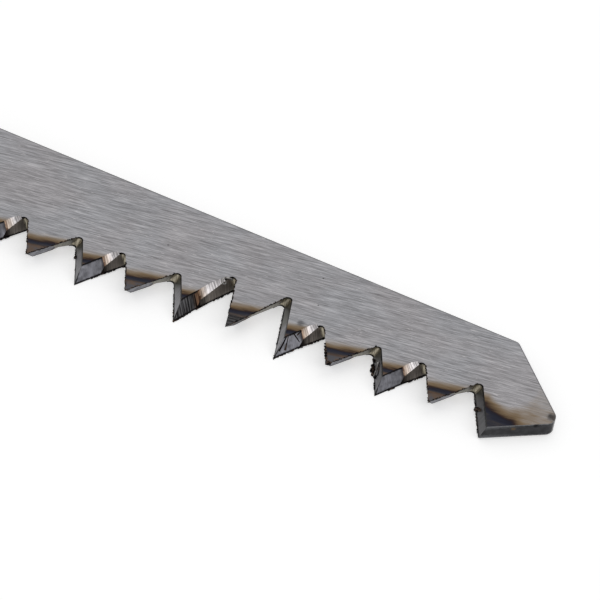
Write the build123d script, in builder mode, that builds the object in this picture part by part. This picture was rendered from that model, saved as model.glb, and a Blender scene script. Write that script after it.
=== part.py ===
from build123d import *
from math import asin, cos, radians, sin, tan
import os

# A reciprocating saw blade with fleam-ground teeth: one piece of strip steel, lying flat.
# Origin: centre of the shank hole, at half the thickness.
# +X runs along the back edge to the nose, +Y across to the back edge, +Z out of the upper face.
# Sizes are in millimetres and degrees.

# Strip: height at the heel and at the nose tooth, and the straight edge before the first gullet
thickness = 1.5
back_edge_y = 7.6
heel_height = 20.1
heel_length = 20.0
nose_height = 11.1

# Shank, the universal half-inch tang
shank_width = 12.7
shank_shoulder_x = 14.5
shank_end = 9.5
shank_hole_diameter = 6.4
shank_end_chamfer = 3.0
shoulder_radius = 2.0

# Nose: relief behind the first tooth, then the slanting front edge
nose_tip_run = 0.42
nose_tip_drop = 0.47
nose_relief_angle = 34.7
nose_relief_length = 7.3
nose_edge_angle = 46.0
nose_corner_radius = 1.0
back_corner_radius = 0.6

# Teeth, numbered from the nose; even ones point to the lower face, odd ones to the upper
tooth_count = 30
tooth_pitch = 5.0
rake_lean = 23.2
back_angle = 52.8
fleam_angle = 23.9
gullet_radius = 0.38
tooth_set = 0.15
bend_height = 2.6

# Two gullets near the nose are ground steeper, and so deeper
steep_gullets = (4, 5)
steep_rake_lean = 13.3
steep_back_angle = 60.0

# Bright bevel on the back of each tooth, on the face away from its point.
# Below bevel_full_length it takes the whole back; further up it fades out.
bevel_width = 0.22
bevel_full_length = 2.6
bevel_half_length = 3.3
bevel_length = 5.0
steep_bevel_length = 6.4
bevel_half_share = 0.5
bevel_end_share = 0.9

# How far a cutting shape reaches past the steel
overcut = 1.0

half = thickness / 2
point_level = half + tooth_set
fleam = tan(radians(fleam_angle))
toothed_length = tooth_count * tooth_pitch

# The line through the tooth points closes on the back edge towards the nose
taper = asin((heel_height - nose_height) / toothed_length)
along = Vector(cos(taper), sin(taper), 0)
inward = Vector(-sin(taper), cos(taper), 0)
up = Vector(0, 0, 1)
nose_tooth_x = shank_shoulder_x + heel_length + toothed_length * cos(taper)
nose_tooth = Vector(nose_tooth_x, back_edge_y - nose_height, 0)


def on_line(run, rise, level=0.0):
    """A point by its run along the tooth line, rise to the back edge and level."""
    return nose_tooth + along * run + inward * rise + up * level


def outline_point(run, rise):
    """The same as a flat pair, for the outline of the blank."""
    point = on_line(run, rise)
    return point.X, point.Y


def gullet_angles(number):
    """Rake lean and back angle of the gullet on the shank side of a tooth."""
    if number in steep_gullets:
        return radians(steep_rake_lean), radians(steep_back_angle)
    return radians(rake_lean), radians(back_angle)


def side(number):
    """The face that a tooth points to: -1 for the lower, +1 for the upper."""
    return 1 if number % 2 else -1


def mouth_middle(number):
    """Middle of a gullet along the tooth line, at the bend height."""
    left = -tooth_pitch + bend_height / tan(radians(back_angle))
    right = -bend_height * tan(radians(rake_lean))
    return -number * tooth_pitch + (left + right) / 2


# Corners of the nose
nose_tip = on_line(nose_tip_run, -nose_tip_drop)
nose_x = nose_tip.X + nose_relief_length * cos(radians(nose_relief_angle))
nose_y = nose_tip.Y + nose_relief_length * sin(radians(nose_relief_angle))
back_corner_x = nose_x - (back_edge_y - nose_y) / tan(radians(nose_edge_angle))
heel_y = back_edge_y - heel_height
first_mouth = mouth_middle(tooth_count - 1)
last_mouth = mouth_middle(0)
upper_step = back_edge_y - shank_width / 2
lower_step = -shank_width / 2 - heel_y

with BuildPart() as blade:
    # Blank: body with a notch above the bend line of the teeth, and the shank
    with BuildSketch(Plane.XY.offset(-half)) as blank:
        with BuildLine():
            Polyline(
                (shank_shoulder_x, back_edge_y),
                (back_corner_x, back_edge_y),
                (nose_x, nose_y),
                (nose_tip.X, nose_tip.Y),
                outline_point(last_mouth, -nose_tip_drop),
                outline_point(last_mouth, bend_height),
                outline_point(first_mouth, bend_height),
                outline_point(first_mouth, 0),
                outline_point(-toothed_length, 0),
                (shank_shoulder_x, heel_y),
                close=True,
            )
        make_face()
        fillet(blank.vertices().sort_by(Axis.X)[-1], nose_corner_radius)
        fillet(blank.vertices().group_by(Axis.Y)[-1].sort_by(Axis.X)[-1], back_corner_radius)
        with BuildLine():
            Polyline(
                (shank_shoulder_x, shank_width / 2),
                (-shank_end, shank_width / 2),
                (-shank_end, -shank_width / 2),
                (shank_shoulder_x, -shank_width / 2),
                close=True,
            )
        make_face()
        chamfer(blank.vertices().group_by(Axis.X)[0], shank_end_chamfer)
        shoulders = blank.vertices().filter_by_position(
            Axis.X, shank_shoulder_x, shank_shoulder_x
        ).filter_by_position(Axis.Y, -shank_width / 2, shank_width / 2).sort_by(Axis.Y)
        fillet(shoulders[0], min(shoulder_radius, 0.8 * lower_step))
        fillet(shoulders[-1], min(shoulder_radius, 0.8 * upper_step))
        Circle(shank_hole_diameter / 2, mode=Mode.SUBTRACT)
    extrude(amount=thickness)

    # Each tooth but the nose one is bent from the bend line to its own face
    for tooth in range(1, tooth_count):
        foot_shift = side(tooth) * tooth_set * (bend_height + nose_tip_drop) / bend_height
        start = on_line(mouth_middle(tooth), 0)
        with BuildSketch(Plane(origin=start, x_dir=inward, z_dir=along)):
            with BuildLine():
                Polyline(
                    (bend_height, -half),
                    (bend_height, half),
                    (-nose_tip_drop, half + foot_shift),
                    (-nose_tip_drop, -half + foot_shift),
                    close=True,
                )
            make_face()
    extrude(amount=tooth_pitch)

    # Gullets: each pass of the wheel runs through the strip at the fleam angle,
    # slanting one way and then the other, and leaves each point on its own face
    level = point_level + overcut
    spread = point_level * fleam
    for first in (0, 1):
        slant = -side(first) * fleam
        for tooth in range(first, tooth_count, 2):
            lean, back = gullet_angles(tooth)
            start = on_line(-tooth * tooth_pitch - slant * level, 0, -level)
            depth = (tooth_pitch + 2 * spread) / (tan(lean) + 1 / tan(back))
            with BuildSketch(Plane(origin=start, x_dir=along, z_dir=up)) as gullet:
                with BuildLine():
                    Polyline(
                        (spread + overcut * tan(lean), -overcut),
                        (spread - depth * tan(lean), depth),
                        (-tooth_pitch - spread - overcut / tan(back), -overcut),
                        close=True,
                    )
                make_face()
                fillet(gullet.vertices().sort_by(Axis.Y)[-1], gullet_radius)
        slope = along * slant + up
        extrude(amount=2 * level * slope.length, dir=slope, mode=Mode.SUBTRACT)

    # Bevels on the tooth backs, longer in the deeper gullets
    far_level = thickness + tooth_set
    bevels = []
    for tooth in range(1, tooth_count):
        lean, back = gullet_angles(tooth - 1)
        bevel_stations = (
            (-overcut, 0),
            (bevel_full_length, 0),
            (bevel_half_length, bevel_half_share),
            (steep_bevel_length if tooth - 1 in steep_gullets else bevel_length, bevel_end_share),
        )
        edge = along * cos(back) + inward * sin(back)
        across = inward * cos(back) - along * sin(back)
        point = on_line(-tooth * tooth_pitch, 0, side(tooth) * point_level)
        land_slope = fleam * sin(back)
        far_reach = land_slope * far_level + bevel_width
        for distance, land_share in bevel_stations:
            land_level = land_share * far_level
            land_reach = land_slope * land_level
            rise = (far_reach - land_reach) / (far_level - land_level)
            with BuildSketch(Plane(origin=point + edge * distance, x_dir=across, z_dir=edge * -side(tooth))):
                with BuildLine():
                    Polyline(
                        (land_reach, land_level),
                        (far_reach + rise * overcut, far_level + overcut),
                        (land_reach - overcut, far_level + overcut),
                        close=True,
                    )
                make_face()
        bevels.append(loft(ruled=True, mode=Mode.PRIVATE))
    add(bevels, mode=Mode.SUBTRACT)

blade.part.label = "saw_blade"
os.makedirs("parts", exist_ok=True)
export_step(blade.part, "parts/saw_blade.step")
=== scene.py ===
# %% [markdown]
# # A reciprocating saw blade
#
# The object is one piece of strip steel: a flat ground body, a row of slantwise ground teeth
# and a slanted nose. This notebook loads its solid, which is already true to size, and gives
# every ground, hardened or torn surface its own finish.

# %% Load the solid
import math
import bmesh
import bpy
from mathutils import Matrix, Vector, noise


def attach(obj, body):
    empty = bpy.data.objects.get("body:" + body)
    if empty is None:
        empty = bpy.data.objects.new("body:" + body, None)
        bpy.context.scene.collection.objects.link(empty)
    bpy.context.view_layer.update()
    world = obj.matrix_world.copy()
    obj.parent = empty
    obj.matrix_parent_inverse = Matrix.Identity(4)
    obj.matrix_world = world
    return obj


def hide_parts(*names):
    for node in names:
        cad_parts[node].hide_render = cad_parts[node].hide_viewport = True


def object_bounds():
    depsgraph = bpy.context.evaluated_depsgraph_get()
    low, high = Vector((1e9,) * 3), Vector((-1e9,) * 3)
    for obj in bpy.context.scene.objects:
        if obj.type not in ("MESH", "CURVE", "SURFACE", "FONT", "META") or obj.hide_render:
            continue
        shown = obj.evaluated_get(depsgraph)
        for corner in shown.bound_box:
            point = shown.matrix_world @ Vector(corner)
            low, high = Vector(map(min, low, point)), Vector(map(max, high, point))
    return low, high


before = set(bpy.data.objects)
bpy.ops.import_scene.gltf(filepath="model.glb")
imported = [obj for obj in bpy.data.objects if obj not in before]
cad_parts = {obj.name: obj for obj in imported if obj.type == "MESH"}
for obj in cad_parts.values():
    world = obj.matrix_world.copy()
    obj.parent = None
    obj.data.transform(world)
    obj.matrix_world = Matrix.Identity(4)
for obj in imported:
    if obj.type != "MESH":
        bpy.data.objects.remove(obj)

MM = 0.001
solid_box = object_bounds()
blade_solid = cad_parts["saw_blade"]
print("solid box in mm:", [[round(v / MM, 2) for v in corner] for corner in solid_box])

# %% [markdown]
# ## The sizes that the finishes follow
#
# Heat tints, grinding marks and burrs sit at fixed places on each tooth, so the finishes need
# the tooth line: where it starts, how it slopes and how far apart its points are. A point on
# the blade gets three numbers: how far it lies along the tooth line, how high it rises
# towards the back edge, and its level through the thickness. The count starts at the point of
# the nose tooth, so along is negative for all the other teeth.

# %% Tooth line
PITCH = 5.0
TEETH = 30
TOOTHED_LENGTH = TEETH * PITCH
TOOTHED_START = 34.5
NOSE_POINT_Y = -3.5
LINE_CLIMB = 9.0
TAPER = math.asin(LINE_CLIMB / TOOTHED_LENGTH)
NOSE_TOOTH = Vector((TOOTHED_START + TOOTHED_LENGTH * math.cos(TAPER), NOSE_POINT_Y, 0))
ZONE_END = 3.3  # how far the zone of a tooth reaches past its point, towards the nose
to_tooth_line = Matrix.Rotation(-TAPER, 3, "Z")


def on_tooth_line(place):
    """Along, rise and level in mm of a place on the blade in metres."""
    return to_tooth_line @ (Vector(place) / MM - NOSE_TOOTH)


def from_tooth_line(along, rise, level):
    """The place in metres of a point given along the tooth line."""
    return (to_tooth_line.inverted() @ Vector((along, rise, level)) + NOSE_TOOTH) * MM


def tooth_number(along):
    """The tooth whose zone a point lies in; the nose tooth is 0."""
    return max(0, math.floor((ZONE_END - along) / PITCH))


print("tooth line slopes by", round(math.degrees(TAPER), 2), "degrees")

# %% [markdown]
# ## The camera
#
# A close-up lens looks down on the teeth from about 45 degrees, from far enough away that the
# blade shows almost no perspective. The place and the roll were worked out from the tooth
# points, whose real spacing is known.

# %% Camera
CAMERA_PLACE = Vector((235.642, -216.328, 233.024)) * MM
CAMERA_AIM = Vector((163.487, 2.608, 0.0)) * MM
CAMERA_ROLL = math.radians(9.44)
LENS = 211.65


def put(name, data):
    """Make an object of a mesh, a curve, a lamp or a camera and add it to the scene."""
    made = bpy.data.objects.new(name, data)
    bpy.context.scene.collection.objects.link(made)
    return made


forward = (CAMERA_AIM - CAMERA_PLACE).normalized()
level_right = forward.cross(Vector((0, 0, 1))).normalized()
level_up = level_right.cross(forward)
right = level_right * math.cos(CAMERA_ROLL) + level_up * math.sin(CAMERA_ROLL)
turn = Matrix((right, right.cross(forward), -forward)).transposed()
camera = put("camera", bpy.data.cameras.new("camera"))
camera.data.lens = LENS
camera.data.sensor_width = 36.0
camera.data.clip_start = 0.01
camera.matrix_world = Matrix.Translation(CAMERA_PLACE) @ turn.to_4x4()
bpy.context.scene.camera = camera
bpy.context.scene.view_settings.view_transform = "Standard"
print("camera looks down by", round(math.degrees(math.asin(-forward.z)), 1), "degrees")

# %% [markdown]
# ## Small helpers for node trees
#
# A finish is a network of nodes, and each node takes several lines to place and wire. These
# helpers keep the later cells short: one adds a node and fills its inputs, and the others do
# arithmetic, make soft steps, go from one number to another, and give cloudy noise.


# %% Nodes, arithmetic and noise
def add(tree, kind, inputs=(), **settings):
    """Add a node; an input is given by name or number, as a value or a socket to link."""
    made = tree.nodes.new(kind)
    for name, value in settings.items():
        setattr(made, name, value)
    for key, value in dict(inputs).items():
        if isinstance(value, bpy.types.NodeSocket):
            tree.links.new(value, made.inputs[key])
        else:
            made.inputs[key].default_value = value
    return made


def calc(tree, operation, first, second=0.0, third=0.0, clamp=False):
    """One step of arithmetic on numbers or sockets."""
    values = {0: first, 1: second, 2: third}
    return add(tree, "ShaderNodeMath", values, operation=operation, use_clamp=clamp).outputs[0]


def fade(tree, value, start, end, low=0.0, high=1.0):
    """A smooth step of value from low at start to high at end."""
    span = {"Value": value, 1: start, 2: end, 3: low, 4: high}
    return add(tree, "ShaderNodeMapRange", span, interpolation_type="SMOOTHSTEP").outputs[0]


def between(tree, share, first, second):
    """The number that lies a share of the way from the first to the second."""
    return add(tree, "ShaderNodeMix", {0: share, 2: first, 3: second}).outputs[0]


def object_place(tree):
    """Object coordinates, which stay with the steel from every side."""
    return add(tree, "ShaderNodeTexCoord").outputs["Object"]


def cloud(tree, per_mm, detail):
    """Cloudy noise of 0 to 1; its patches are about 1 / per_mm wide."""
    inputs = {"Vector": object_place(tree), "Scale": per_mm / MM, "Detail": detail}
    return add(tree, "ShaderNodeTexNoise", inputs).outputs["Fac"]


print("helpers:", ", ".join(helper.__name__ for helper in (add, calc, fade, between, cloud)))

# %% [markdown]
# Colours have three helpers of their own. One takes a colour as a screen shows it, from 0 to
# 255, and gives its share of light. The others mix two colours and change how light one is.


# %% Colours
def paint(red, green, blue):
    """A colour from screen values of 0 to 255."""
    return (*(((value / 255 + 0.055) / 1.055) ** 2.4 for value in (red, green, blue)), 1.0)


def blend(tree, share, first, second):
    """Mix two colours."""
    mixed = add(tree, "ShaderNodeMix", {0: share, 6: first, 7: second}, data_type="RGBA")
    return mixed.outputs[2]


def tone(tree, colour, amount):
    """Multiply a colour by a number."""
    grey = add(tree, "ShaderNodeCombineColor", {0: amount, 1: amount, 2: amount}).outputs[0]
    both = {0: 1.0, 6: colour, 7: grey}
    return add(tree, "ShaderNodeMix", both, data_type="RGBA", blend_type="MULTIPLY").outputs[2]


print("a screen grey of 128 is", round(paint(128, 128, 128)[0], 3), "of full light")

# %% [markdown]
# An effect that several finishes share is built once, as a node group with named inputs and
# outputs. One helper starts such a group, one places it in a material, and one says what it
# takes and gives.

# %% Shared groups
FLOAT = "NodeSocketFloat"
COLOR = "NodeSocketColor"


def group(name, inputs, outputs):
    """Start a shader node group; inputs are (name, type, value), outputs (name, type)."""
    tree = bpy.data.node_groups.new(name, "ShaderNodeTree")
    for label, kind, value in inputs:
        socket = tree.interface.new_socket(name=label, in_out="INPUT", socket_type=kind)
        socket.default_value = value
    for label, kind in outputs:
        tree.interface.new_socket(name=label, in_out="OUTPUT", socket_type=kind)
    given = tree.nodes.new("NodeGroupInput").outputs
    return tree, given, tree.nodes.new("NodeGroupOutput").inputs


def use(tree, shared, inputs=()):
    """Place a shared group in a tree and return its outputs."""
    return add(tree, "ShaderNodeGroup", inputs, node_tree=shared).outputs


def describe(shared):
    """Say what a group takes and gives."""
    sockets = shared.interface.items_tree
    names = {side: [s.name for s in sockets if s.in_out == side] for side in ("INPUT", "OUTPUT")}
    print("group", shared.name, "takes", names["INPUT"], "and gives", names["OUTPUT"])


print("sockets of a group are", FLOAT, "or", COLOR)

# %% [markdown]
# ## Shared group: the tooth grid
#
# Every tooth repeats the same story of grinding and heat, so one group describes the place of
# a point on its tooth. Two of its outputs need a helper. The teeth are bent to one side and
# the other, so the level is taken off the bent middle of the strip. And the rake and the back
# of a tooth meet in a slanting arris, which is steeper where a gullet beside it is steep.

# %% Level and arris of a tooth
HALF = 0.75
SET = 0.15
BEND_HEIGHT = 2.6
STEEP_TOOTH = 5.0
ARRIS_SLANT = 0.746
STEEP_GULLET_EXTRA = 0.14
BOTH_GULLETS_EXTRA = 0.2
OUT_OF_REACH = 10.0


def level_in_tooth(tree, rise, level, number, odd):
    """The level off the middle of the bent tooth; the nose tooth isn't bent."""
    bent = calc(tree, "MULTIPLY_ADD", calc(tree, "DIVIDE", rise, BEND_HEIGHT), -SET, SET)
    bent = calc(tree, "MAXIMUM", bent, 0.0)
    bent = calc(tree, "MULTIPLY", bent, calc(tree, "MULTIPLY_ADD", odd, 2.0, -1.0))
    bent = calc(tree, "MULTIPLY", bent, calc(tree, "GREATER_THAN", number, 0.5))
    return calc(tree, "SUBTRACT", level, bent)


def rise_above_arris(tree, rise, level, number, odd):
    """The rise above the arris between rake and back; the nose tooth has no such arris."""
    off_point_side = calc(tree, "MULTIPLY", level, calc(tree, "MULTIPLY_ADD", odd, -2.0, 1.0))
    steep = calc(tree, "COMPARE", number, STEEP_TOOTH, 1.5)
    slant = calc(tree, "MULTIPLY_ADD", steep, STEEP_GULLET_EXTRA, ARRIS_SLANT)
    both = calc(tree, "COMPARE", number, STEEP_TOOTH, 0.5)
    slant = calc(tree, "MULTIPLY_ADD", both, BOTH_GULLETS_EXTRA, slant)
    meeting = calc(tree, "MULTIPLY", calc(tree, "ADD", off_point_side, HALF + SET), slant)
    above = calc(tree, "SUBTRACT", rise, meeting)
    return calc(tree, "MULTIPLY_ADD", calc(tree, "LESS_THAN", number, 0.5), OUT_OF_REACH, above)


print("the points stand", SET, "mm to the side")

# %% [markdown]
# The group turns Object coordinates into millimetres along the tooth line. It says which
# tooth a point belongs to, how far it lies past that tooth's point, whether the tooth is odd,
# and a number drawn at random for that tooth, so that no two teeth come out alike.


# %% Tooth grid group
def make_tooth_grid():
    names = ("Along", "Rise", "Level", "Past", "Number", "Odd", "Chance", "Above")
    tree, _, out = group("tooth_grid", (), [(name, FLOAT) for name in names])
    in_mm = {"Vector": object_place(tree), "Location": to_tooth_line @ -NOSE_TOOTH,
             "Rotation": (0, 0, -TAPER), "Scale": (1 / MM, 1 / MM, 1 / MM)}
    turned = add(tree, "ShaderNodeMapping", in_mm, vector_type="POINT").outputs[0]
    along, rise, level = add(tree, "ShaderNodeSeparateXYZ", {0: turned}).outputs
    zones = calc(tree, "DIVIDE", calc(tree, "SUBTRACT", ZONE_END, along), PITCH)
    number = calc(tree, "MAXIMUM", calc(tree, "FLOOR", zones), 0.0)
    past = calc(tree, "MULTIPLY_ADD", number, PITCH, along)
    odd = calc(tree, "MODULO", number, 2.0)
    chance = add(tree, "ShaderNodeTexWhiteNoise", {"W": number}, noise_dimensions="1D")
    own_level = level_in_tooth(tree, rise, level, number, odd)
    above = rise_above_arris(tree, rise, level, number, odd)
    results = (along, rise, own_level, past, number, odd, chance.outputs["Value"], above)
    for name, result in zip(names, results):
        tree.links.new(result, out[name])
    return tree


tooth_grid = make_tooth_grid()
describe(tooth_grid)

# %% [markdown]
# ## Shared group: drawn marks
#
# A grinding wheel or a belt leaves long, fine, nearly parallel marks. Noise that is
# stretched along one direction has just that look. The group takes the direction, the length
# and width of a mark in millimetres and a seed, and gives a height from 0 to 1.


# %% Drawn marks group
def make_drawn_marks():
    sizes = (("Turn", 0.0), ("Length", 4.0), ("Width", 0.15), ("Seed", 0.0))
    inputs = [(name, FLOAT, value) for name, value in sizes]
    tree, given, out = group("drawn_marks", inputs, [("Mark", FLOAT)])
    place = {0: object_place(tree), "Scale": 1 / MM}
    in_mm = add(tree, "ShaderNodeVectorMath", place, operation="SCALE").outputs[0]
    turn_back = {"Vector": in_mm, "Angle": calc(tree, "MULTIPLY", given["Turn"], -1.0)}
    turned = add(tree, "ShaderNodeVectorRotate", turn_back, rotation_type="Z_AXIS").outputs[0]
    size = {0: given["Length"], 1: given["Width"], 2: given["Length"]}
    by_size = {0: turned, 1: add(tree, "ShaderNodeCombineXYZ", size).outputs[0]}
    spread = add(tree, "ShaderNodeVectorMath", by_size, operation="DIVIDE").outputs[0]
    grain = {"Vector": spread, "W": given["Seed"], "Scale": 1.0, "Detail": 4.0, "Roughness": 0.68}
    stretched = add(tree, "ShaderNodeTexNoise", grain, noise_dimensions="4D")
    tree.links.new(stretched.outputs["Fac"], out["Mark"])
    return tree


drawn_marks = make_drawn_marks()
describe(drawn_marks)

# %% [markdown]
# ## Shared group: heat tint
#
# The teeth were hardened by a short shock of heat. Away from the point the steel was less
# and less hot, and its thin oxide film shows that as bands: grey scale, a red-brown line,
# blue, brown, straw, and then bare steel. A colour ramp over the distance from the point
# holds those bands in order. The group also says how much the tint covers the bare steel,
# and where the grey scale is.

# %% Heat tint group
HEAT_BANDS = (
    (0.0, (88, 88, 92)),
    (1.25, (84, 83, 87)),
    (1.60, (76, 60, 50)),
    (1.80, (54, 52, 55)),
    (2.00, (37, 39, 50)),
    (2.22, (32, 31, 39)),
    (2.36, (47, 35, 32)),
    (2.52, (84, 69, 53)),
    (2.75, (110, 93, 73)),
    (3.00, (124, 111, 96)),
    (3.30, (138, 130, 122)),
)
HEAT_REACH = 4.0


def make_heat_tint():
    outputs = [("Color", COLOR), ("Cover", FLOAT), ("Scale", FLOAT)]
    tree, given, out = group("heat_tint", [("Heat", FLOAT, HEAT_REACH)], outputs)
    share = calc(tree, "DIVIDE", given["Heat"], HEAT_REACH, clamp=True)
    ramp = add(tree, "ShaderNodeValToRGB", {0: share})
    stops = ramp.color_ramp.elements
    while len(stops) < len(HEAT_BANDS):
        stops.new(0.5)
    for stop, (distance, colour) in zip(stops, HEAT_BANDS):
        stop.position = distance / HEAT_REACH
        stop.color = paint(*colour)
    tree.links.new(ramp.outputs[0], out["Color"])
    tree.links.new(fade(tree, given["Heat"], 3.7, 2.8), out["Cover"])
    tree.links.new(fade(tree, given["Heat"], 1.9, 1.2), out["Scale"])
    return tree


heat_tint = make_heat_tint()
describe(heat_tint)

# %% [markdown]
# ## Shared group: arris shade and highlight
#
# Where a ground wall meets the broad face, the burr throws a thin shadow on the torn and
# oxidised metal there. The finishes paint that in as a dark line of painted shade, and the
# nose relief takes the same mask for a light line, a painted highlight. The group reads the
# level through the thickness, roughens it with noise and gives a mask that rises towards
# either face, and towards the arris between rake and back where that is given.


# %% Arris shade and highlight group
def make_painted_arris_light():
    sizes = (("Level", 0.0), ("Above", 5.0), ("Width", 0.18), ("Ragged", 0.14))
    inputs = [(name, FLOAT, value) for name, value in sizes]
    tree, given, out = group("arris_shade_and_highlight", inputs, [("Mask", FLOAT)])
    rag = calc(tree, "SUBTRACT", cloud(tree, 5.0, 2.0), 0.5)
    depth = calc(tree, "SUBTRACT", HALF, calc(tree, "ABSOLUTE", given["Level"]))
    depth = calc(tree, "MINIMUM", depth, calc(tree, "ABSOLUTE", given["Above"]))
    depth = calc(tree, "ADD", depth, calc(tree, "MULTIPLY", rag, given["Ragged"]))
    share = calc(tree, "DIVIDE", depth, given["Width"])
    tree.links.new(fade(tree, share, 1.2, 0.5), out["Mask"])
    return tree


arris_shade_and_highlight = make_painted_arris_light()
describe(arris_shade_and_highlight)

# %% [markdown]
# ## Shared group: one spot
#
# Some marks are not a pattern but one event: a scorched corner, a smudge of soot, a pit. The
# group takes two distances in millimetres, the centre and the radius of the spot, and gives a
# mask with a slightly ragged rim. A helper stains a colour with one such spot.


# %% Spot group
def make_spot():
    names = ("Along", "Across", "Centre Along", "Centre Across", "Radius")
    tree, given, out = group("spot", [(name, FLOAT, 0.0) for name in names], [("Mask", FLOAT)])
    run = calc(tree, "SUBTRACT", given["Along"], given["Centre Along"])
    rise = calc(tree, "SUBTRACT", given["Across"], given["Centre Across"])
    squares = calc(tree, "MULTIPLY_ADD", run, run, calc(tree, "MULTIPLY", rise, rise))
    share = calc(tree, "DIVIDE", calc(tree, "SQRT", squares), given["Radius"])
    rag = calc(tree, "MULTIPLY_ADD", cloud(tree, 2.5, 2.0), 0.8, -0.4)
    tree.links.new(fade(tree, calc(tree, "ADD", share, rag), 1.0, 0.2), out["Mask"])
    return tree


spot = make_spot()


def stain(tree, colour, along, across, centre, radius, strength, shade):
    """Stain a colour with one spot."""
    where = {"Along": along, "Across": across, "Radius": radius,
             "Centre Along": centre[0], "Centre Across": centre[1]}
    mask = use(tree, spot, where)["Mask"]
    return blend(tree, calc(tree, "MULTIPLY", mask, strength), colour, shade)


describe(spot)

# %% [markdown]
# ## How a steel finish starts
#
# Every surface here is bare or oxidised steel, so every finish starts as the same metal
# shader. What changes is its colour, how rough it is and the height of its marks.


# %% Steel base
def steel(name, roughness=0.4):
    """A material with a metal shader; returns the material, its tree and its shader."""
    finish = bpy.data.materials.new(name)
    finish.use_nodes = True
    shader = finish.node_tree.nodes["Principled BSDF"]
    shader.inputs["Metallic"].default_value = 1.0
    shader.inputs["Roughness"].default_value = roughness
    return finish, finish.node_tree, shader


def dress(tree, shader, colour, height, depth_mm, strength=1.0):
    """Give the shader its colour, and marks of a given depth from a height of 0 to 1."""
    tree.links.new(colour, shader.inputs["Base Color"])
    marks = {"Height": height, "Distance": depth_mm * MM, "Strength": strength}
    normal = add(tree, "ShaderNodeBump", marks).outputs["Normal"]
    tree.links.new(normal, shader.inputs["Normal"])


print("every finish starts as metal of roughness", steel.__defaults__[0])

# %% [markdown]
# ## Finish: the ground body
#
# The broad faces were ground on a belt before the teeth were cut. Its marks run at about
# eleven degrees to the back edge. Layers of drawn marks, from hair-fine to coarse, give the
# grain, and rare bright scratches lie on top. A few dark pits show where the strip was
# pitted.

# %% Ground steel
GRAIN_TURN = math.radians(11.0)
BODY_STEEL = paint(145, 145, 148)
WARM_STEEL = paint(145, 143, 145)
SCRATCHED_STEEL = paint(208, 204, 204)
PIT = paint(48, 44, 46)


def belt_marks(tree, turn, length, width, seed):
    """Marks of the belt, turned a little from its main direction."""
    sizes = {"Turn": GRAIN_TURN + turn, "Length": length, "Width": width, "Seed": seed}
    return use(tree, drawn_marks, sizes)["Mark"]


def ground_steel(tree, fine, coarse):
    """The colour of the ground steel where no heat reached it."""
    rare = belt_marks(tree, -0.02, 0.9, 0.12, 9.0)
    hair = belt_marks(tree, -0.05, 1.3, 0.06, 21.0)
    grain = calc(tree, "MULTIPLY_ADD", fine, 2.4, -0.2)
    grain = calc(tree, "MULTIPLY", grain, calc(tree, "MULTIPLY_ADD", coarse, 0.6, 0.7))
    grain = calc(tree, "MULTIPLY", grain, calc(tree, "MULTIPLY_ADD", hair, 1.3, 0.35))
    patches = fade(tree, cloud(tree, 0.16, 3.0), 0.35, 0.65)
    body = tone(tree, blend(tree, patches, WARM_STEEL, BODY_STEEL), grain)
    body = blend(tree, fade(tree, rare, 0.61, 0.7, 0.0, 0.8), body, SCRATCHED_STEEL)
    cells = {"Vector": object_place(tree), "Scale": 0.1 / MM, "Randomness": 1.0}
    to_pit = add(tree, "ShaderNodeTexVoronoi", cells).outputs["Distance"]
    return blend(tree, fade(tree, to_pit, 0.022, 0.012, 0.0, 0.7), body, PIT)


print("belt marks run at", round(math.degrees(GRAIN_TURN), 1), "degrees to the back edge")

# %% [markdown]
# Heat came in at each point and fell off towards the back edge, so on most teeth the bands
# follow the rise. They climb a little towards the nose side of the tooth, sit higher or lower
# by chance, and wave with the belt marks. The nose tooth has more steel behind it: there a
# brown line sinks from the rake and then runs level, and a straw veil covers the far end.
# Nothing was heated at the heel.

# %% Heat on the face
BROWN_HEAT = 2.44
BROWN_RISE = 1.68
LEVEL_FROM = 2.2
COOLEST_SCALE = 1.87
VEIL_HEAT = 2.93


def nose_heat(tree, grid):
    """The nose tooth's bands sink towards its relief, and a straw veil covers its far end."""
    short = calc(tree, "MAXIMUM", calc(tree, "SUBTRACT", LEVEL_FROM, grid["Past"]), 0.0)
    short = calc(tree, "MINIMUM", short, 2.5)
    squared = calc(tree, "MULTIPLY", short, short)
    brown_line = calc(tree, "MULTIPLY_ADD", squared, 0.146, BROWN_RISE)
    over = calc(tree, "SUBTRACT", grid["Rise"], brown_line)
    above = calc(tree, "MAXIMUM", over, 0.0)
    bands = calc(tree, "MULTIPLY_ADD", over, 0.5, BROWN_HEAT)
    bands = calc(tree, "MAXIMUM", bands, COOLEST_SCALE)
    quicker = fade(tree, grid["Past"], 3.0, 1.0, 0.0, 0.27)
    bands = calc(tree, "MULTIPLY_ADD", calc(tree, "MULTIPLY", above, above), quicker, bands)
    veil = calc(tree, "MULTIPLY_ADD", over, 0.1, VEIL_HEAT)
    return between(tree, fade(tree, grid["Past"], 2.5, 3.9), bands, veil)


def face_heat(tree, grid):
    """The distance in mm from the heated point that sets the tint."""
    climb = calc(tree, "MULTIPLY", calc(tree, "SUBTRACT", grid["Past"], 0.7), 0.25)
    shift = calc(tree, "MULTIPLY", calc(tree, "SUBTRACT", grid["Chance"], 0.5), 0.3)
    beside_steep = calc(tree, "COMPARE", grid["Number"], 4.5, 0.6)
    shift = calc(tree, "MULTIPLY_ADD", beside_steep, 0.5, shift)
    heat = calc(tree, "SUBTRACT", calc(tree, "SUBTRACT", grid["Rise"], climb), shift)
    on_nose = calc(tree, "LESS_THAN", grid["Number"], 0.5)
    heat = between(tree, on_nose, heat, nose_heat(tree, grid))
    wave = belt_marks(tree, 0.0, 2.0, 0.34, 3.0)
    heat = calc(tree, "ADD", heat, calc(tree, "MULTIPLY_ADD", wave, 0.9, -0.45))
    heel = (3.5 - TOOTHED_LENGTH, 0.5 - TOOTHED_LENGTH, 0.0, HEAT_REACH)
    return calc(tree, "ADD", fade(tree, grid["Along"], *heel), heat)


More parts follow.
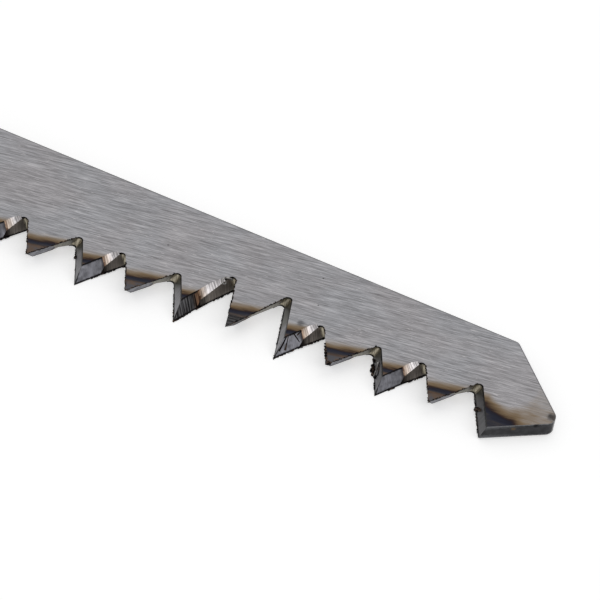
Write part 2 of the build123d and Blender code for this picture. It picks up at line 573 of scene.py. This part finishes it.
def tinted_steel(tree, grid, tint, fine):
    """The tint with the belt's marks in it; its scale is browned, or torn on tooth 5."""
    tinted = tone(tree, tint["Color"], calc(tree, "MULTIPLY_ADD", fine, 0.5, 0.75))
    mottle = fade(tree, cloud(tree, 1.1, 3.0), 0.42, 0.6, 0.0, 0.8)
    tinted = blend(tree, calc(tree, "MULTIPLY", mottle, tint["Scale"]), tinted, paint(100, 82, 68))
    torn = tone(tree, paint(74, 73, 74), fade(tree, fine, 0.42, 0.6, 0.15, 1.3))
    steep = calc(tree, "COMPARE", grid["Number"], STEEP_TOOTH, 0.5)
    return blend(tree, calc(tree, "MULTIPLY", tint["Scale"], steep), tinted, torn)


print("the brown line of the nose tooth ends", BROWN_RISE, "mm above the tooth line")

# %% [markdown]
# The rim is darker in a thin line along the back edge and the front of the nose. Spots come
# last: the scorched corner of the nose, a smudge beside tooth 4 and three single pits.

# %% Ground face
BACK_CORNER = (183.54, 7.6)
NOSE_EDGE_ANGLE = math.radians(46.0)
SPOTS = (  # centre along and rise, radius, strength
    (5.8, 3.65, 0.75, 0.8),
    (-19.0, 3.85, 0.5, 0.6),
    (-19.23, 10.29, 0.13, 0.9),
    (-18.38, 6.79, 0.11, 0.7),
    (-33.8, 7.46, 0.16, 0.6),
)


def past_rim(tree):
    """Distance in mm past the back edge or the nose edge; negative on the steel."""
    x, y, _ = add(tree, "ShaderNodeSeparateXYZ", {0: object_place(tree)}).outputs
    from_corner = calc(tree, "MULTIPLY_ADD", x, 1 / MM, -BACK_CORNER[0])
    from_back = calc(tree, "MULTIPLY_ADD", y, 1 / MM, -BACK_CORNER[1])
    from_nose = calc(tree, "MULTIPLY", from_corner, math.sin(NOSE_EDGE_ANGLE))
    from_nose = calc(tree, "MULTIPLY_ADD", from_back, math.cos(NOSE_EDGE_ANGLE), from_nose)
    return calc(tree, "MAXIMUM", from_nose, from_back)


def ground_face():
    finish, tree, shader = steel("ground_face")
    grid = use(tree, tooth_grid)
    fine = belt_marks(tree, 0.0, 2.2, 0.115, 1.0)
    coarse = belt_marks(tree, 0.03, 5.0, 0.3, 5.0)
    tint = use(tree, heat_tint, {"Heat": face_heat(tree, grid)})
    tinted = tinted_steel(tree, grid, tint, fine)
    colour = blend(tree, tint["Cover"], ground_steel(tree, fine, coarse), tinted)
    dark_rim = fade(tree, past_rim(tree), -0.14, -0.03, 0.0, 0.6)
    colour = blend(tree, dark_rim, colour, paint(60, 58, 61))
    for along, rise, radius, strength in SPOTS:
        colour = stain(tree, colour, grid["Along"], grid["Rise"], (along, rise), radius, strength,
                       paint(30, 29, 31))
    smooth = calc(tree, "MULTIPLY_ADD", fine, 0.2, 0.26)
    rough = calc(tree, "MULTIPLY_ADD", tint["Scale"], 0.25, smooth)
    tree.links.new(rough, shader.inputs["Roughness"])
    dress(tree, shader, colour, calc(tree, "ADD", fine, coarse), 0.004, 0.6)
    return finish


FACE = ground_face()
print("finish", FACE.name, "with", len(SPOTS), "spots")

# %% [markdown]
# ## Finishes of the tooth walls
#
# Each tooth is walled by a rake and a back, with a rounded root in the gullet between two
# teeth. The wheel's marks run straight across these walls. They lean with the wall, so the
# direction of the marks follows from the angle of the wall to the tooth line.

# %% Marks and arrises of the walls
RAKE_LEAN = math.radians(23.2)
BACK_ANGLE = math.radians(52.8)


def cross_marks(tree, angle, width, seed):
    """Marks that run across the strip on a wall that leans at an angle to the tooth line."""
    sizes = {"Turn": angle + TAPER + math.pi / 2, "Length": 3.0, "Width": width, "Seed": seed}
    return use(tree, drawn_marks, sizes)["Mark"]


def along_back(tree, grid):
    """Distance in mm from the tooth's point along its back."""
    lifted = calc(tree, "MULTIPLY", grid["Rise"], math.sin(BACK_ANGLE))
    return calc(tree, "MULTIPLY_ADD", grid["Past"], math.cos(BACK_ANGLE), lifted)


def edged(tree, grid, colour, line, **inputs):
    """A colour with a ragged arris line: painted shade if the line is dark, painted highlight if
    light.
    """
    mask = use(tree, arris_shade_and_highlight, {"Level": grid["Level"], **inputs})["Mask"]
    return blend(tree, mask, colour, line)


print("the backs rise at", round(math.degrees(BACK_ANGLE), 1), "degrees")

# %% [markdown]
# The back of a tooth has two parts side by side. The bright bevel was ground last, so it is
# the brightest steel on the blade. It starts straw-coloured and speckled beside the scale at
# the point, and its marks run straight across. The land beside it is as the first wheel and
# the heat left it: dull grey. On the even teeth painted shade makes it black next to the
# scale, and its arrises carry a ragged dark line of painted shade.


# %% Bevel and land
def bright_bevel():
    finish, tree, shader = steel("bright_bevel", 0.3)
    grid = use(tree, tooth_grid)
    marks = cross_marks(tree, BACK_ANGLE, 0.16, 2.0)
    distance = calc(tree, "MULTIPLY_ADD", marks, 0.4, along_back(tree, grid))
    end = fade(tree, distance, 3.35, 3.9)
    colour = blend(tree, end, paint(140, 108, 82), paint(172, 158, 147))
    colour = blend(tree, fade(tree, distance, 3.8, 4.6), colour, paint(188, 184, 185))
    colour = tone(tree, colour, fade(tree, marks, 0.38, 0.62, 0.38, 1.0))
    specks = fade(tree, cloud(tree, 3.0, 1.0), 0.5, 0.58)
    near_scale = calc(tree, "MULTIPLY", specks, fade(tree, distance, 3.8, 3.4))
    colour = blend(tree, near_scale, colour, paint(58, 36, 26))
    dress(tree, shader, colour, marks, 0.006, 0.7)
    return finish


def fleam_land():
    finish, tree, shader = steel("fleam_land", 0.5)
    grid = use(tree, tooth_grid)
    marks = cross_marks(tree, BACK_ANGLE, 0.1, 4.0)
    distance = calc(tree, "MULTIPLY_ADD", marks, 1.2, along_back(tree, grid))
    # Painted shade: on the even teeth the land is black next to the scale.
    colour = blend(tree, fade(tree, distance, 3.6, 5.2), paint(18, 14, 12), paint(131, 124, 118))
    colour = blend(tree, grid["Odd"], colour, paint(136, 133, 125))
    last = calc(tree, "COMPARE", grid["Number"], TEETH, 0.5)
    colour = blend(tree, last, colour, paint(124, 122, 118))
    colour = tone(tree, colour, fade(tree, marks, 0.3, 0.7, 0.6, 1.3))
    # Ragged dark line along the arrises: painted shade of the burr.
    colour = edged(tree, grid, colour, paint(12, 12, 12))
    dress(tree, shader, colour, marks, 0.006, 0.7)
    return finish


WALLS = {"land": fleam_land(), "bevel": bright_bevel()}
print("wall finishes:", ", ".join(WALLS))

# %% [markdown]
# Towards the point both parts end at a crisp line, and the rest of the back is matte grey
# scale from the hardening. On tooth 6, whose back lies in a steep gullet, it was burnt black
# in ridges, and by chance on a few others too.


# %% Scale at the points
def tip_scale():
    finish, tree, shader = steel("tip_scale", 0.55)
    grid = use(tree, tooth_grid)
    marks = cross_marks(tree, BACK_ANGLE, 0.14, 6.0)
    distance = along_back(tree, grid)
    mottle = cloud(tree, 1.6, 5.0)
    shade = calc(tree, "MULTIPLY_ADD", grid["Chance"], -0.3, 1.15)
    shade = calc(tree, "MULTIPLY", shade, fade(tree, mottle, 0.3, 0.7, 0.65, 1.3))
    shade = calc(tree, "MULTIPLY", shade, fade(tree, marks, 0.3, 0.7, 0.8, 1.15))
    smooth_scale = tone(tree, paint(126, 126, 132), shade)
    browned = blend(tree, fade(tree, distance, 2.4, 3.0), paint(92, 91, 93), paint(112, 86, 68))
    ridges = tone(tree, browned, fade(tree, marks, 0.4, 0.62, 0.05, 1.2))
    sixth = calc(tree, "COMPARE", grid["Number"], 6.0, 0.5)
    dice = calc(tree, "FRACT", calc(tree, "MULTIPLY", grid["Number"], 0.377))
    burnt = calc(tree, "MAXIMUM", sixth, calc(tree, "GREATER_THAN", dice, 0.8))
    colour = blend(tree, burnt, smooth_scale, ridges)
    colour = blend(tree, fade(tree, distance, 2.95, 3.25, 0.0, 0.75), colour, paint(38, 31, 28))
    # Ragged dark line along the arrises: painted shade of the burr.
    colour = edged(tree, grid, colour, paint(24, 23, 24), Above=grid["Above"])
    dress(tree, shader, colour, calc(tree, "ADD", marks, mottle), 0.01, 0.7)
    return finish


WALLS["scale"] = tip_scale()
print("wall finishes:", ", ".join(WALLS))

# %% [markdown]
# The rake is the plain cutting wall, grey with fine marks. It is darkest on the first teeth
# from the nose, and a little darker again from tooth 8 on. The root of the gullet is rounded
# and olive, and catches the light in a bright streak. Both have a ragged dark line of painted
# shade along their arrises, where the burr throws its shadow.


# %% Rake and root
def rake_wall():
    finish, tree, shader = steel("rake_wall", 0.45)
    grid = use(tree, tooth_grid)
    marks = cross_marks(tree, math.pi / 2 + RAKE_LEAN, 0.2, 8.0)
    colour = tone(tree, paint(132, 131, 134), fade(tree, marks, 0.3, 0.7, 0.75, 1.15))
    colour = tone(tree, colour, fade(tree, grid["Number"], 0.0, 4.5, 0.45, 1.15))
    colour = tone(tree, colour, fade(tree, grid["Number"], 6.5, 8.5, 1.0, 0.75))
    colour = blend(tree, fade(tree, grid["Rise"], 3.0, 4.0), colour, paint(106, 105, 100))
    # Ragged dark line along the arrises: painted shade of the burr.
    colour = edged(tree, grid, colour, paint(16, 15, 15),
                   Above=grid["Above"], Width=0.26, Ragged=0.24)
    dress(tree, shader, colour, marks, 0.006, 0.6)
    return finish


def gullet_root():
    finish, tree, shader = steel("gullet_root", 0.42)
    grid = use(tree, tooth_grid)
    marks = cross_marks(tree, 0.0, 0.16, 12.0)
    colour = tone(tree, paint(158, 151, 134), fade(tree, marks, 0.35, 0.65, 0.55, 1.6))
    # Ragged dark line along the arrises: painted shade of the burr.
    colour = edged(tree, grid, colour, paint(20, 19, 17), Width=0.26)
    dress(tree, shader, colour, marks, 0.006, 0.6)
    return finish


WALLS.update(rake=rake_wall(), root=gullet_root())
print("wall finishes:", ", ".join(WALLS))

# %% [markdown]
# ## Finishes of the rim
#
# The relief under the nose is dark scale. Its arris is rubbed round and carries a painted
# highlight, strongest beside the point. A spot of rust and a black spot sit on it. The back
# edge, the nose edge and the shank were sheared from the strip, so they show short marks
# across it.


# %% Rim
def nose_relief():
    finish, tree, shader = steel("nose_relief", 0.5)
    grid = use(tree, tooth_grid)
    along, level = grid["Along"], grid["Level"]
    mottle = cloud(tree, 1.4, 5.0)
    colour = tone(tree, paint(56, 56, 58), fade(tree, mottle, 0.25, 0.75, 0.7, 1.35))
    # Painted highlight: a light line along the rounded arrises of the relief.
    colour = edged(tree, grid, colour, paint(112, 112, 114), Width=0.14, Ragged=0.25)
    # A wider painted highlight on the rounded arris, strongest beside the point.
    rounding_highlight = use(tree, arris_shade_and_highlight, {"Level": level, "Width": 0.4, "Ragged": 0.3})["Mask"]
    rounding_highlight = calc(tree, "MULTIPLY", rounding_highlight, fade(tree, along, 4.5, 0.6, 0.0, 0.6))
    colour = blend(tree, rounding_highlight, colour, paint(104, 105, 108))
    colour = stain(tree, colour, along, level, (3.0, 0.28), 0.28, 0.7, paint(102, 84, 60))
    colour = stain(tree, colour, along, level, (4.75, 0.55), 0.35, 1.0, paint(22, 22, 24))
    dress(tree, shader, colour, mottle, 0.04, 0.8)
    return finish


def sheared_edge():
    finish, tree, shader = steel("sheared_edge", 0.45)
    marks = cross_marks(tree, 0.0, 0.2, 20.0)
    colour = tone(tree, paint(128, 127, 128), fade(tree, marks, 0.3, 0.7, 0.75, 1.15))
    dress(tree, shader, colour, marks, 0.01, 0.7)
    return finish


RIM = {"relief": nose_relief(), "edge": sheared_edge()}
print("rim finishes:", ", ".join(RIM))

# %% [markdown]
# ## Which wall is which
#
# The blade is one solid, but its walls were ground in separate passes, and each pass left
# its own finish. Every face can be told by the direction that it looks in and by where it
# lies on its tooth. Directions are given in degrees from the tooth line, in the plane of the
# strip, and the tilt is the part of the normal that points out of that plane.

# %% Tell the walls apart
STEEP_RAKE_LEAN = math.radians(13.3)
STEEP_BACK_ANGLE = math.radians(60.0)
RAKE_FACINGS = [math.degrees(lean) - 180 for lean in (RAKE_LEAN, STEEP_RAKE_LEAN)]
BACK_FACINGS = [math.degrees(angle) - 90 for angle in (BACK_ANGLE, STEEP_BACK_ANGLE)]
FACING_SLACK = 2
BROAD_TILT = 0.97
BEVEL_TILT = 0.4
LAND_TILT = 0.38
HIGHEST_ROOT = 8
LOWEST_ROOT = 2
RELIEF_FACINGS = (-75, -20)
BEVEL_START = 3.25


def kind_of_face(centre, normal):
    """The name of the finish for a face, from its centre and normal along the tooth line."""
    along, rise, _ = centre
    tilt = abs(normal.z)
    facing = math.degrees(math.atan2(normal.y, normal.x))
    if tilt > BROAD_TILT:
        return "face"
    toothed = -TOOTHED_LENGTH - 1 < along < 1 and rise < HIGHEST_ROOT
    if not toothed or facing > 0:
        under_nose = along > 0 and RELIEF_FACINGS[0] < facing < RELIEF_FACINGS[1]
        return "relief" if under_nose else "edge"
    if facing < max(RAKE_FACINGS) + FACING_SLACK:
        return "rake"
    off_back = min(abs(facing - back) for back in BACK_FACINGS)
    if off_back >= FACING_SLACK and tilt <= BEVEL_TILT:
        return "root" if rise > LOWEST_ROOT else "relief"
    past = along + tooth_number(along) * PITCH
    distance = past * math.cos(BACK_ANGLE) + rise * math.sin(BACK_ANGLE)
    if tilt < LAND_TILT:
        return "land"
    return "scale" if distance < BEVEL_START else "bevel"


print("rakes face", [round(facing, 1) for facing in RAKE_FACINGS], "degrees")

# %% [markdown]
# A copy of the solid's mesh is merged, because the solid itself is loose triangles. Each face
# then gets its finish. Ground planes stay flat and meet in crisp edges, and only the gullet
# roots and the rounded corners of the rim are shaded smooth.

# %% Dress the blade
ROUNDED = ("root", "edge")
SHARP_FROM = math.radians(22)


def merge(mesh):
    """Join the loose triangles of a mesh."""
    shape = bmesh.new()
    shape.from_mesh(mesh)
    bmesh.ops.remove_doubles(shape, verts=shape.verts, dist=0.001 * MM)
    shape.to_mesh(mesh)
    shape.free()


def sharpen_finish_lines(mesh):
    """Mark the edges between two finishes as sharp."""
    shape = bmesh.new()
    shape.from_mesh(mesh)
    for edge in shape.edges:
        if len({face.material_index for face in edge.link_faces}) > 1:
            edge.smooth = False
    shape.to_mesh(mesh)
    shape.free()


def make_blade():
    """A merged copy of the solid with a finish for each wall."""
    mesh = blade_solid.data.copy()
    mesh.name = "blade"
    merge(mesh)
    finishes = {"face": FACE, **WALLS, **RIM}
    mesh.materials.clear()
    for finish in finishes.values():
        mesh.materials.append(finish)
    order = list(finishes)
    counts = dict.fromkeys(order, 0)
    for face in mesh.polygons:
        kind = kind_of_face(on_tooth_line(face.center), to_tooth_line @ face.normal)
        face.material_index = order.index(kind)
        face.use_smooth = kind in ROUNDED
        counts[kind] += 1
    mesh.set_sharp_from_angle(angle=SHARP_FROM)
    sharpen_finish_lines(mesh)
    return put("blade", mesh), counts


blade, face_counts = make_blade()
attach(blade, "root")
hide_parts("saw_blade")
print("faces by finish:", face_counts)

# %% [markdown]
# ## Burrs on the arrises
#
# A fast grinding wheel pushes steel over the edge that it leaves by. What stays behind are
# crumbs of burnt metal, strung along the arrises on the side that the tooth's point is on.
# The edges between the broad face and the tooth walls there are taken from the blade's own
# mesh, so the crumbs sit exactly on the steel.


# %% The arrises with burrs
def arris_edges():
    """A mesh of only the arrises that keep burrs, those on the side that a point is on."""
    shape = bmesh.new()
    shape.from_mesh(blade.data)
    order = [finish.name for finish in blade.data.materials]
    walls = {order.index(WALLS[name].name) for name in ("rake", "land", "scale")}
    broad = order.index(FACE.name)
    loose = []
    for edge in shape.edges:
        kinds = {face.material_index for face in edge.link_faces}
        middle = on_tooth_line((edge.verts[0].co + edge.verts[1].co) / 2)
        on_point_side = middle.z > 0 if tooth_number(middle.x) % 2 else middle.z < 0
        if broad in kinds and kinds & walls and on_point_side:
            loose.append([tuple(vertex.co) for vertex in edge.verts])
    shape.free()
    corners = list(dict.fromkeys(corner for pair in loose for corner in pair))
    place = {corner: number for number, corner in enumerate(corners)}
    mesh = bpy.data.meshes.new("arrises")
    mesh.from_pydata(corners, [(place[a], place[b]) for a, b in loose], [])
    return mesh


arrises = put("arrises", arris_edges())
print("edges with burrs:", len(arrises.data.edges))

# %% [markdown]
# Crumbs repeat along a path, which is work for Geometry Nodes. The tree makes paths of the
# edges, picks the stretches with burrs by noise, and strews little balls of random size
# there, drawn out along the arris.

# %% Crumb tree
STRAY = 0.04 * MM
LEAST_STRETCH = (0.7, 0.4, 0.4)
MOST_STRETCH = (2.4, 1.6, 1.6)
BURR_INPUTS = (
    ("Edges", "NodeSocketGeometry"), ("Spacing", FLOAT), ("Size", FLOAT), ("Bare", FLOAT),
    ("Seed", "NodeSocketInt"), ("Finish", "NodeSocketMaterial"),
)


def random_vector(tree, low, high, seed):
    """A vector drawn at random between two others."""
    span = {0: low, 1: high, "Seed": seed}
    return add(tree, "FunctionNodeRandomValue", span, data_type="FLOAT_VECTOR").outputs[0]


def make_crumb_tree():
    """Crumbs strewn along the edges of a mesh."""
    tree = bpy.data.node_groups.new("strewn_crumbs", "GeometryNodeTree")
    for label, kind in BURR_INPUTS:
        tree.interface.new_socket(name=label, in_out="INPUT", socket_type=kind)
    geometry = "NodeSocketGeometry"
    tree.interface.new_socket(name="Crumbs", in_out="OUTPUT", socket_type=geometry)
    given = tree.nodes.new("NodeGroupInput").outputs
    path = add(tree, "GeometryNodeMeshToCurve", {"Mesh": given["Edges"]}).outputs[0]
    steps = {"Curve": path, "Length": given["Spacing"]}
    spaced = add(tree, "GeometryNodeResampleCurve", steps, mode="LENGTH").outputs[0]
    stray = random_vector(tree, (-STRAY,) * 3, (STRAY,) * 3, given["Seed"])
    strayed = {"Geometry": spaced, "Offset": stray}
    points = add(tree, "GeometryNodeSetPosition", strayed).outputs[0]
    place = add(tree, "GeometryNodeInputPosition").outputs[0]
    patches = {"Vector": place, "Scale": 0.7 / MM, "Detail": 3.0}
    patches = {0: add(tree, "ShaderNodeTexNoise", patches).outputs["Fac"], 1: given["Bare"]}
    kept = add(tree, "FunctionNodeCompare", patches, operation="GREATER_THAN").outputs[0]
    tangent = {"Vector": add(tree, "GeometryNodeInputTangent").outputs[0]}
    facing = add(tree, "FunctionNodeAlignRotationToVector", tangent, axis="X").outputs[0]
    stretch = random_vector(tree, LEAST_STRETCH, MOST_STRETCH, given["Seed"])
    ball = {"Radius": given["Size"], "Subdivisions": 1}
    crumb = add(tree, "GeometryNodeMeshIcoSphere", ball).outputs[0]
    strewn = {"Points": points, "Selection": kept, "Instance": crumb, "Rotation": facing,
              "Scale": stretch}
    strewn = {"Geometry": add(tree, "GeometryNodeInstanceOnPoints", strewn).outputs[0]}
    real = {"Geometry": add(tree, "GeometryNodeRealizeInstances", strewn).outputs[0],
            "Material": given["Finish"]}
    dressed = add(tree, "GeometryNodeSetMaterial", real).outputs[0]
    tree.links.new(dressed, tree.nodes.new("NodeGroupOutput").inputs[0])
    return tree


crumb_tree = make_crumb_tree()
describe(crumb_tree)

# %% [markdown]
# Burrs have two finishes of their own, both clouded and lumpy: burnt metal for crumbs and
# beads, and brighter torn steel for the larger curls.


# %% Finishes of the burrs
def burr_steel(name, roughness, per_mm, edges, dark, light):
    finish, tree, shader = steel(name, roughness)
    patches = cloud(tree, per_mm, 2.0)
    colour = blend(tree, fade(tree, patches, *edges), paint(*dark), paint(*light))
    dress(tree, shader, colour, patches, 0.02)
    return finish


BURNT = burr_steel("burnt_crumb", 0.45, 3.0, (0.45, 0.65), (16, 15, 16), (76, 63, 54))
TORN = burr_steel("torn_steel", 0.4, 2.5, (0.35, 0.6), (84, 81, 78), (150, 148, 146))
print("burr finishes:", BURNT.name, "and", TORN.name)

# %% [markdown]
# The tree is run once on the arrises, and its result is kept as a plain mesh. The blade lies
# on the table, so whatever would reach below its lowest points is pressed flat there.

# %% Crumbs
LOWEST = solid_box[0][2]


def keep_above_table(mesh):
    """Press flat what reaches below the table."""
    for vertex in mesh.vertices:
        vertex.co.z = max(vertex.co.z, LOWEST)


def settled(rough, name):
    """Turn an object with its modifier or bevel into a plain one, and remove the rough one."""
    depsgraph = bpy.context.evaluated_depsgraph_get()
    mesh = bpy.data.meshes.new_from_object(rough.evaluated_get(depsgraph))
    mesh.name = name
    keep_above_table(mesh)
    bpy.data.objects.remove(rough)
    return put(name, mesh)


def make_burrs():
    modifier = arrises.modifiers.new("crumbs", "NODES")
    modifier.node_group = crumb_tree
    values = {"Spacing": 0.12 * MM, "Size": 0.065 * MM, "Bare": 0.45, "Seed": 7, "Finish": BURNT}
    for socket in crumb_tree.interface.items_tree:
        if socket.in_out == "INPUT" and socket.name in values:
            modifier[socket.identifier] = values[socket.name]
    return settled(arrises, "grinding_burrs")


burrs = make_burrs()
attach(burrs, "root")
print("burr faces:", len(burrs.data.polygons))

# %% [markdown]
# A few burrs grew into beads of molten steel. They hang on the lower arris of some rakes and
# on one point. Each bead is a small ball, dented by noise.

# %% Beads
BEADS = (  # along, rise, level and radius
    (-1.1, 2.72, -0.76, 0.19),
    (-0.9, 2.48, -0.45, 0.25),
    (-0.62, 2.2, -0.1, 0.17),
    (-11.43, 3.75, -0.5, 0.17),
    (-11.42, 3.3, -0.74, 0.19),
    (-11.28, 2.85, -0.78, 0.24),
    (-11.02, 2.4, -0.72, 0.22),
    (-10.7, 1.9, -0.5, 0.15),
    (-14.84, 0.28, 0.86, 0.23),
    (-15.28, 0.75, 0.84, 0.13),
    (-15.43, 1.05, 0.84, 0.15),
    (-15.58, 1.4, 0.82, 0.16),
    (-15.74, 1.75, 0.8, 0.15),
    (-15.9, 2.15, 0.78, 0.13),
    (-16.05, 2.5, 0.76, 0.1),
    (-41.3, 3.2, -0.66, 0.17),
    (-71.25, 3.0, -0.66, 0.17),
    (-121.0, 2.6, -0.66, 0.16),
)


def make_beads():
    shape = bmesh.new()
    for along, rise, level, radius in BEADS:
        centre = from_tooth_line(along, rise, level)
        ball = bmesh.ops.create_icosphere(shape, subdivisions=3, radius=radius * MM)["verts"]
        for vertex in ball:
            dent = noise.noise(vertex.co / MM * 7 + Vector((along, rise, 0)))
            vertex.co = vertex.co * (1 + 0.45 * dent) + centre
    mesh = bpy.data.meshes.new("burr_beads")
    shape.to_mesh(mesh)
    shape.free()
    keep_above_table(mesh)
    mesh.materials.append(BURNT)
    return put("burr_beads", mesh)


beads = make_beads()
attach(beads, "root")
print("beads:", len(BEADS))

# %% [markdown]
# Here and there the wheel rolled up a thread of hot steel instead of tearing it off. Such a
# curl is a curve with a round bevel that thins out at its end. One lies beside the root of
# gullet 5, and the others on the walls of teeth 2 and 4.

# %% Curls
CURLS = (  # finish, radius, and the along, rise and level of its places
    (TORN, 0.11, (
        (-26.8, 6.4, 0.46), (-27.0, 6.26, 0.61), (-27.21, 6.1, 0.78), (-27.43, 5.97, 0.78),
        (-27.58, 5.8, 0.75), (-27.56, 5.52, 0.64), (-27.33, 5.51, 0.37), (-27.15, 5.78, 0.3),
        (-27.3, 5.8, 0.6))),
    (TORN, 0.12, (
        (-10.95, 3.2, 0.14), (-10.86, 2.7, -0.15), (-10.9, 2.33, -0.6), (-10.9, 2.13, -0.83))),
    (BURNT, 0.07, (
        (-10.5, 1.9, -0.2), (-10.51, 2.07, -0.02), (-10.64, 2.54, 0.17), (-10.89, 3.18, 0.2))),
    (BURNT, 0.1, (
        (-19.76, 0.7, -0.4), (-19.66, 1.21, 0.04), (-19.58, 1.63, 0.45), (-19.55, 1.84, 0.66))),
    (BURNT, 0.1, (
        (-19.32, 1.15, -0.5), (-19.34, 1.36, -0.3), (-19.42, 1.62, 0.1), (-19.45, 1.97, 0.6))),
    (BURNT, 0.09, (
        (-19.18, 2.42, 0.74), (-19.06, 2.45, 0.58), (-18.73, 2.51, 0.11), (-18.41, 2.56, -0.36))),
    (BURNT, 0.08, (
        (-18.82, 2.62, 0.41), (-18.7, 2.9, 0.54), (-18.59, 3.07, 0.59), (-18.58, 3.17, 0.7))),
)
THINNING = 0.5


def make_curls():
    threads = bpy.data.curves.new("threads", "CURVE")
    threads.dimensions = "3D"
    threads.bevel_depth = MM
    threads.bevel_resolution = 2
    threads.use_fill_caps = True
    finishes = (TORN, BURNT)
    for finish in finishes:
        threads.materials.append(finish)
    for finish, radius, places in CURLS:
        thread = threads.splines.new("NURBS")
        thread.points.add(len(places) - 1)
        thread.order_u = 3
        thread.use_endpoint_u = True
        thread.material_index = finishes.index(finish)
        for number, (point, place) in enumerate(zip(thread.points, places)):
            point.co = (*from_tooth_line(*place), 1.0)
            point.radius = radius * (1 - THINNING * number / (len(places) - 1))
    return settled(put("threads", threads), "burr_curls")


curls = make_curls()
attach(curls, "root")
print("curls:", len(CURLS), "with", len(curls.data.polygons), "faces")

# %% [markdown]
# ## The table
#
# The blade lies on a white table, as in a product picture. The table is a pale matte sheet
# that keeps the blade's shadow. Where the camera sees it, or the steel mirrors it, a glow of
# its own lifts it to white. The glow lights nothing else.

# %% Table
FLOOR_SIZE = 3.0
FLOOR_COLOUR = 0.8
FLOOR_GLOW = 0.45


def sees_background(tree):
    """1 where the camera or a reflection looks, otherwise 0."""
    path = add(tree, "ShaderNodeLightPath").outputs
    seen = calc(tree, "MAXIMUM", path["Is Camera Ray"], path["Is Glossy Ray"])
    return calc(tree, "MAXIMUM", seen, path["Is Transmission Ray"])


def white_table():
    finish = bpy.data.materials.new("white_table")
    finish.use_nodes = True
    tree = finish.node_tree
    tree.nodes.remove(tree.nodes["Principled BSDF"])
    pale = (FLOOR_COLOUR, FLOOR_COLOUR, FLOOR_COLOUR, 1)
    matte = add(tree, "ShaderNodeBsdfDiffuse", {"Color": pale})
    lift = calc(tree, "MULTIPLY", sees_background(tree), FLOOR_GLOW)
    glow = add(tree, "ShaderNodeEmission", {"Strength": lift})
    both = add(tree, "ShaderNodeAddShader", {0: matte.outputs[0], 1: glow.outputs[0]})
    tree.links.new(both.outputs[0], tree.nodes["Material Output"].inputs["Surface"])
    return finish


def make_floor():
    mesh = bpy.data.meshes.new("floor")
    reach = FLOOR_SIZE / 2
    corners = [(x * reach, y * reach, LOWEST) for x, y in ((-1, -1), (1, -1), (1, 1), (-1, 1))]
    mesh.from_pydata(corners, [], [(0, 1, 2, 3)])
    mesh.materials.append(white_table())
    made = put("floor", mesh)
    return made


floor = make_floor()
print(floor.name, "at", round(LOWEST / MM, 2), "mm")

# %% [markdown]
# ## The light
#
# The light is soft and even. The world lights the blade from all sides and looks white
# itself. A wide lamp behind the blade gives the ground face its sheen, and a second one
# beyond the nose lights the walls of the teeth.

# %% Light
WORLD_LIGHT = 0.6
BLADE_MIDDLE = (0.15, 0, 0)


def make_world(strength):
    world = bpy.data.worlds.new("studio")
    world.use_nodes = True
    tree = world.node_tree
    level = between(tree, sees_background(tree), strength, 1.0)
    tree.links.new(level, tree.nodes["Background"].inputs["Strength"])
    tree.nodes["Background"].inputs["Color"].default_value = (1, 1, 1, 1)
    bpy.context.scene.world = world


def make_lamp(name, place, size, power):
    lamp = bpy.data.lights.new(name, "AREA")
    lamp.shape = "DISK"
    lamp.size = size
    lamp.energy = power
    made = put(name, lamp)
    made.location = place
    aim = Vector(BLADE_MIDDLE) - Vector(place)
    made.rotation_euler = aim.to_track_quat("-Z", "Y").to_euler()
    return made


make_world(WORLD_LIGHT)
lamps = [
    make_lamp("back_softbox", (0.2, 0.2, 0.8), 0.6, 0.4),
    make_lamp("side_softbox", (0.7, -0.1, 0.35), 0.35, 0.5),
]
print("lamps:", ", ".join(lamp.name for lamp in lamps))
